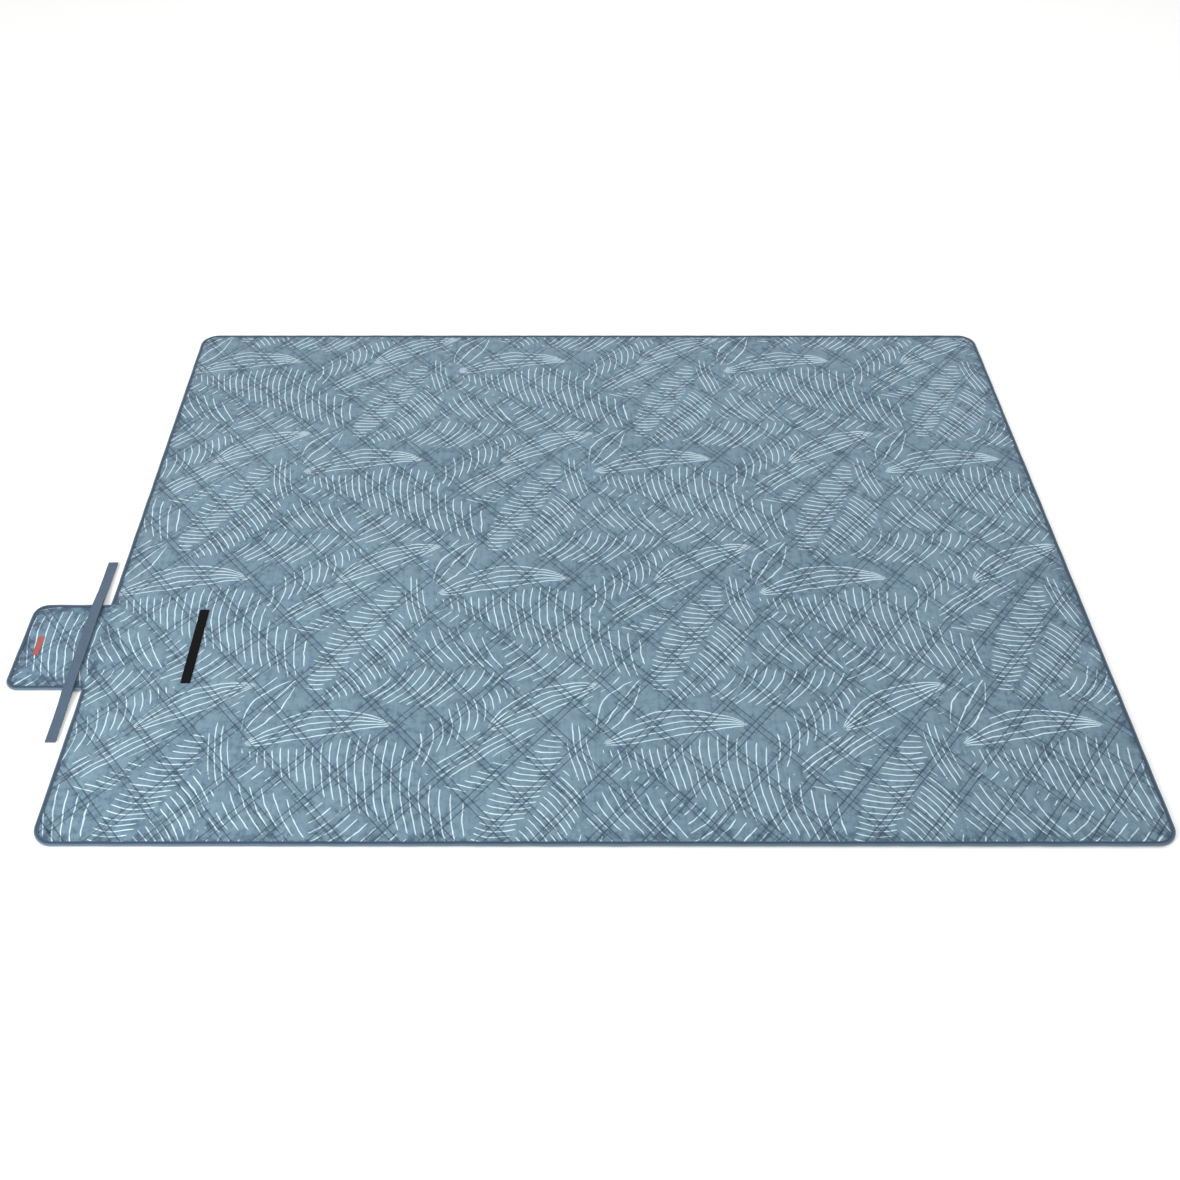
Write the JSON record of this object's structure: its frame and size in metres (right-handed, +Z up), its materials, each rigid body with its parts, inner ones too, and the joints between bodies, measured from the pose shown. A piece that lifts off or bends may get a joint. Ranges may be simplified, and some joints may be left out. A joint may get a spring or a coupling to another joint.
{
  "type": "camp blanket",
  "caption": "Flat quilted camp blanket with bound edges, a closing flap with a webbing handle, a hook tape and pegging loops; it folds along its creases.",
  "frame": {"origin": "middle of the backing's underside, halfway along and halfway across the quilt", "axes": "+X along the long side, away from the flap; +Y across, from the near edge to the far edge; +Z up, out of the printed face"},
  "size_m": [2.153, 1.5, 0.0109],
  "materials": {
    "cover": "dusty blue polyester with a pale line print, quilted",
    "wadding": "soft white polyester wadding",
    "backing": "coated dark grey-blue cloth, satin",
    "binding": "dark slate blue woven tape",
    "label": "plain terracotta woven label",
    "hook_tape": "black hook tape",
    "loop_tape": "black loop tape",
    "webbing": "grey-blue woven webbing",
    "thread": "dark sewing thread"
  },
  "bodies": {
    "panel_2": {"backing_2": "backing", "binding_2_left_far": "binding", "binding_2_left_near": "binding", "binding_2_right": "binding", "cover_2": "cover", "hook_tape": "hook_tape", "wadding_2": "wadding"},
    "panel_1": {"backing_1": "backing", "bar_tack_near_left": "thread", "bar_tack_near_right": "thread", "binding_1": "binding", "cover_1": "cover", "peg_loop_near_left": "webbing", "peg_loop_near_right": "webbing", "wadding_1": "wadding"},
    "panel_3": {"backing_3": "backing", "binding_3_left": "binding", "binding_3_right": "binding", "cover_3": "cover", "wadding_3": "wadding"},
    "panel_4": {"backing_4": "backing", "binding_4_left": "binding", "binding_4_right": "binding", "cover_4": "cover", "wadding_4": "wadding"},
    "panel_5": {"backing_5": "backing", "bar_tack_far_left": "thread", "bar_tack_far_right": "thread", "binding_5": "binding", "cover_5": "cover", "peg_loop_far_left": "webbing", "peg_loop_far_right": "webbing", "wadding_5": "wadding"},
    "flap": {"flap_backing": "backing", "flap_binding": "binding", "flap_cover": "cover", "flap_label": "label", "flap_loop_tape": "loop_tape", "flap_wadding": "wadding", "handle_anchor_far": "webbing", "handle_anchor_near": "webbing"},
    "handle": {"handle_strap": "webbing"}
  },
  "joints": [
    {"name": "near_crease", "type": "hinge", "parent": "panel_2", "child": "panel_1", "pos_m": [0, -0.45, 0.00715], "axis": [-1, 0, 0], "range_deg": [0, 179.9]},
    {"name": "middle_crease", "type": "hinge", "parent": "panel_2", "child": "panel_3", "pos_m": [0, -0.15, 0.0199], "axis": [1, 0, 0], "range_deg": [0, 179.9]},
    {"name": "third_crease", "type": "hinge", "parent": "panel_3", "child": "panel_4", "pos_m": [0, 0.15, 0.0114], "axis": [1, 0, 0], "range_deg": [0, 179.9]},
    {"name": "far_crease", "type": "hinge", "parent": "panel_4", "child": "panel_5", "pos_m": [0, 0.45, 0.00715], "axis": [1, 0, 0], "range_deg": [0, 179.9]},
    {"name": "flap_fold", "type": "hinge", "parent": "panel_2", "child": "flap", "pos_m": [-1, -0.3, 0.0084], "axis": [0, -1, 0], "range_deg": [-178, 0]},
    {"name": "handle_swing", "type": "hinge", "parent": "flap", "child": "handle", "pos_m": [-1.0155, -0.3, 0.007], "axis": [0, 1, 0], "range_deg": [0, 90]}
  ]
}
